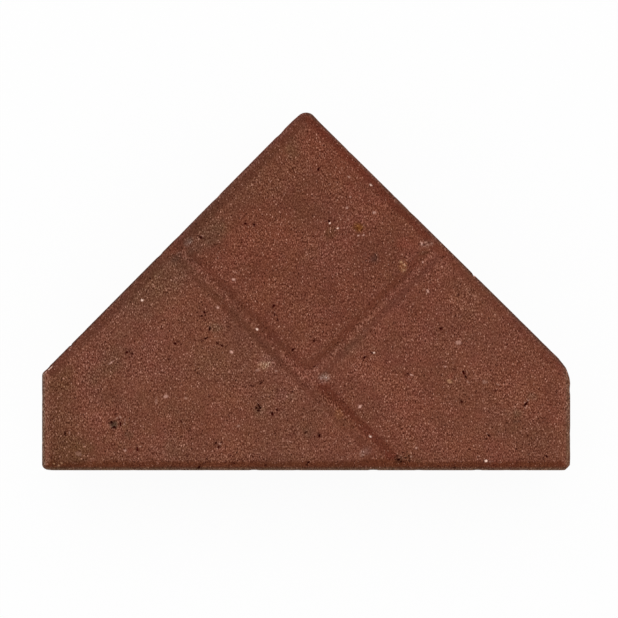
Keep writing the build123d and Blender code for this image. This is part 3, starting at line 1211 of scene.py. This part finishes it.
def makeConcrete():
    material = bpy.data.materials.new("redConcrete")
    material.use_nodes = True
    tree = material.node_tree
    shader = tree.nodes["Principled BSDF"]
    place = addNode(tree, "TexCoord").outputs["Object"]
    drawn = addNode(tree, "Mapping", inputs={"Vector": place, "Scale": concrete["grainDrawn"]}).outputs[0]
    side, pit, speckle = [attribute(tree, name) for name in ("side", "pit", "speckle")]
    calm = ramp(tree, attribute(tree, "slope"), 0, 1, 1.0, concrete["slopeCalm"])
    colour = pasteColour(tree, place)
    colour, streak = dressSides(tree, place, side, colour)
    colour, grit = addSand(tree, place, drawn, calm, speckle, colour)
    colour, grain = addGrains(tree, drawn, calm, speckle, colour)
    colour, pore = addPores(tree, drawn, colour)
    colour, pore = addVoids(tree, place, side, colour, pore)
    # Painted shade in the pits, darker the deeper they are
    colour = blend(tree, pit, colour, concrete["pitShade"], "MULTIPLY", clamp=True)
    # The grains that were listed lie over all
    placed = attribute(tree, "grain", "Alpha")
    colour = blend(tree, placed, colour, attribute(tree, "grain", "Color"), clamp=True)
    parts = {"grit": grit, "grain": grain, "streak": sums(tree, "MULTIPLY", streak, side)}
    normal = addRelief(tree, side, parts, sums(tree, "MAXIMUM", pore, pit))
    tree.links.new(normal, shader.inputs["Normal"])
    tree.links.new(colour, shader.inputs["Base Color"])
    shader.inputs["Roughness"].default_value = concrete["roughness"]
    shader.inputs["Specular IOR Level"].default_value = concrete["specular"]
    return material


pressedStone = makeStone()
pressedStone.data.materials.append(makeConcrete())
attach(pressedStone, "root")
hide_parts("paving_stone")

# The photograph's framing, in its own pixels
framing = {
    "imageSize": 618,
    "pixelsPerMetre": 1785,
    "stoneCentre": (306.15, 291.4),
    "lens": 100.0,
    "sensor": 36.0,
}


def makeCamera():
    data = bpy.data.cameras.new("overheadCamera")
    data.lens = framing["lens"]
    data.sensor_width = framing["sensor"]
    camera = bpy.data.objects.new("overheadCamera", data)
    bpy.context.scene.collection.objects.link(camera)
    viewWidth = framing["imageSize"] / framing["pixelsPerMetre"]
    distance = viewWidth * framing["lens"] / framing["sensor"]
    middle = framing["imageSize"] / 2
    aimX = (middle - framing["stoneCentre"][0]) / framing["pixelsPerMetre"]
    aimY = (framing["stoneCentre"][1] - middle) / framing["pixelsPerMetre"]
    camera.location = (aimX, aimY, bedZ + distance)
    bpy.context.scene.camera = camera


makeCamera()

studio = {
    "skyStrength": 0.74,
    "keyStrength": 16.0,
    "keySize": 1.6,
    "keyPlace": (-0.15, 0.95, 2.2),
    "floorSize": 30.0,
    "floorColour": (0.92, 0.92, 0.92, 1),
    "floorWhiteness": 0.94,  # how much of the floor that the camera sees is plain white
}


# 1 where the camera sees something straight, in a reflection or through glass
def seenByCamera(tree):
    rays = addNode(tree, "LightPath").outputs
    seen = sums(tree, "MAXIMUM", rays["Is Camera Ray"], rays["Is Glossy Ray"])
    return sums(tree, "MAXIMUM", seen, rays["Is Transmission Ray"])


def makeSky():
    world = bpy.data.worlds.new("studioSky")
    bpy.context.scene.world = world
    world.use_nodes = True
    tree = world.node_tree
    tree.nodes.clear()
    light = addNode(tree, "Background", inputs={"Strength": studio["skyStrength"]})
    white = addNode(tree, "Background", inputs={"Strength": 1.0})
    for background in (light, white):
        background.inputs["Color"].default_value = (1, 1, 1, 1)
    inputs = {0: seenByCamera(tree), 1: light.outputs[0], 2: white.outputs[0]}
    mixed = addNode(tree, "MixShader", inputs=inputs)
    addNode(tree, "OutputWorld", inputs={"Surface": mixed.outputs[0]})


def makeKeyLight():
    light = bpy.data.lights.new("softKey", "AREA")
    light.shape = "SQUARE"
    light.size = studio["keySize"]
    light.energy = studio["keyStrength"]
    key = bpy.data.objects.new("softKey", light)
    key.location = studio["keyPlace"]
    key.rotation_mode = "QUATERNION"
    key.rotation_quaternion = Vector(studio["keyPlace"]).to_track_quat("Z", "Y")
    bpy.context.scene.collection.objects.link(key)


def makeFloor():
    material = bpy.data.materials.new("floorPaper")
    material.use_nodes = True
    tree = material.node_tree
    tree.nodes.clear()
    paper = addNode(tree, "BsdfDiffuse", inputs={"Color": studio["floorColour"]})
    white = addNode(tree, "Emission", inputs={"Color": (1, 1, 1, 1), "Strength": 1.0})
    share = sums(tree, "MULTIPLY", seenByCamera(tree), studio["floorWhiteness"])
    inputs = {0: share, 1: paper.outputs[0], 2: white.outputs[0]}
    mixed = addNode(tree, "MixShader", inputs=inputs)
    addNode(tree, "OutputMaterial", inputs={"Surface": mixed.outputs[0]})
    bm = bmesh.new()
    bmesh.ops.create_grid(bm, x_segments=1, y_segments=1, size=studio["floorSize"] / 2)
    data = bpy.data.meshes.new("studioFloor")
    bm.to_mesh(data)
    bm.free()
    data.materials.append(material)
    floor = bpy.data.objects.new("studioFloor", data)
    bpy.context.scene.collection.objects.link(floor)


makeSky()
makeKeyLight()
makeFloor()
bpy.context.scene.view_settings.view_transform = "Standard"
